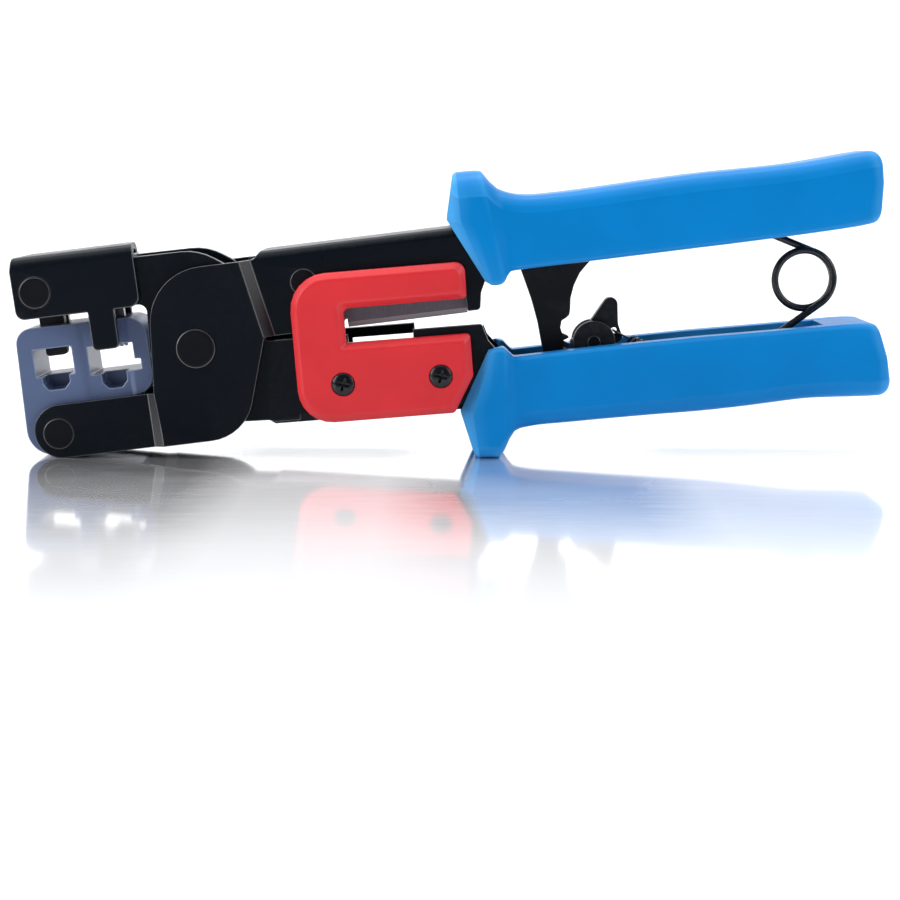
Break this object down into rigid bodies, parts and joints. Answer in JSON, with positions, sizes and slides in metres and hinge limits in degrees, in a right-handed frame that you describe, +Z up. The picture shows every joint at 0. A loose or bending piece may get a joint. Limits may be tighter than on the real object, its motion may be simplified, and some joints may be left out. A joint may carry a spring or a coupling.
{
  "type": "modular plug crimping tool",
  "caption": "Ratcheting crimping tool for RJ45 and RJ11 modular plugs, with a cable cutter and stripper behind a red guard and blue grips.",
  "frame": {"origin": "middle of the tool's box in X and Y, at the height of the table that it stands on", "axes": "+X from the jaws to the handle ends, -Y towards the guard side, +Z up"},
  "size_m": [0.2182, 0.029, 0.076],
  "materials": {
    "frame_black": "gloss black enamel over pressed steel",
    "rivet_black": "satin black steel",
    "zinc_steel": "dull zinc plate",
    "die_plastic": "satin moulded blue-grey plastic",
    "tool_steel": "ground tool steel",
    "punch_black": "black oxide steel",
    "ratchet_black": "satin black oxide steel",
    "spring_wire": "black spring wire",
    "grip_blue": "satin moulded blue plastic with a fine grain",
    "blade_steel": "ground blade steel with a bright bevel",
    "carrier_black": "black moulded plastic",
    "guard_red": "semi-gloss moulded red plastic",
    "screw_black": "black oxide screws"
  },
  "bodies": {
    "upper_lever": {"upper_frame": "frame_black", "main_pivot_rivet": "rivet_black", "pivot_spacer": "zinc_steel", "die_block": "die_plastic", "die_pin": "rivet_black", "rack_plate": "ratchet_black", "rack_rivets": "rivet_black", "rack_spacers": "zinc_steel", "torsion_spring": "spring_wire", "upper_grip": "grip_blue", "cutter_blade": "blade_steel", "stripper_blade": "blade_steel", "blade_carrier": "carrier_black", "blade_rivets": "rivet_black"},
    "lower_lever": {"lower_frame": "frame_black", "lower_grip": "grip_blue", "blade_guard": "guard_red", "guard_screws": "screw_black", "guard_nuts": "zinc_steel", "pawl_bracket": "ratchet_black", "bracket_rivets": "rivet_black", "pawl_pin": "rivet_black", "tension_spring": "spring_wire", "spring_post": "rivet_black"},
    "press_slide": {"press_head": "frame_black", "press_head_pin": "rivet_black", "punch_block": "tool_steel", "rj11_contact_punch": "tool_steel", "rj11_strain_bar": "punch_black", "rj45_contact_punch": "tool_steel", "rj45_strain_bar": "punch_black"},
    "pawl_arm": {"pawl": "ratchet_black"}
  },
  "joints": [
    {"name": "handle_hinge", "type": "hinge", "parent": "upper_lever", "child": "lower_lever", "pos_m": [-0.0636, 0.0012, 0.02779], "axis": [0, -1, 0], "range_deg": [-6, 2.5], "stiffness_Nm_per_rad": 0.6, "springref_deg": -17.19, "deforming": ["torsion_spring"]},
    {"name": "press_slide_travel", "type": "slide", "parent": "upper_lever", "child": "press_slide", "axis": [0.1219, 0, -0.9925], "range_m": [-0.00385, 0.00162]},
    {"name": "pawl_hinge", "type": "hinge", "parent": "lower_lever", "child": "pawl_arm", "pos_m": [0.03555, 0.0012, 0.02847], "axis": [0, 1, 0], "range_deg": [-20, 20], "stiffness_Nm_per_rad": 0.05, "deforming": ["tension_spring"]}
  ],
  "couplings": [
    {"joint": "press_slide_travel", "follows": "handle_hinge", "m_per_rad": 0.0366}
  ]
}
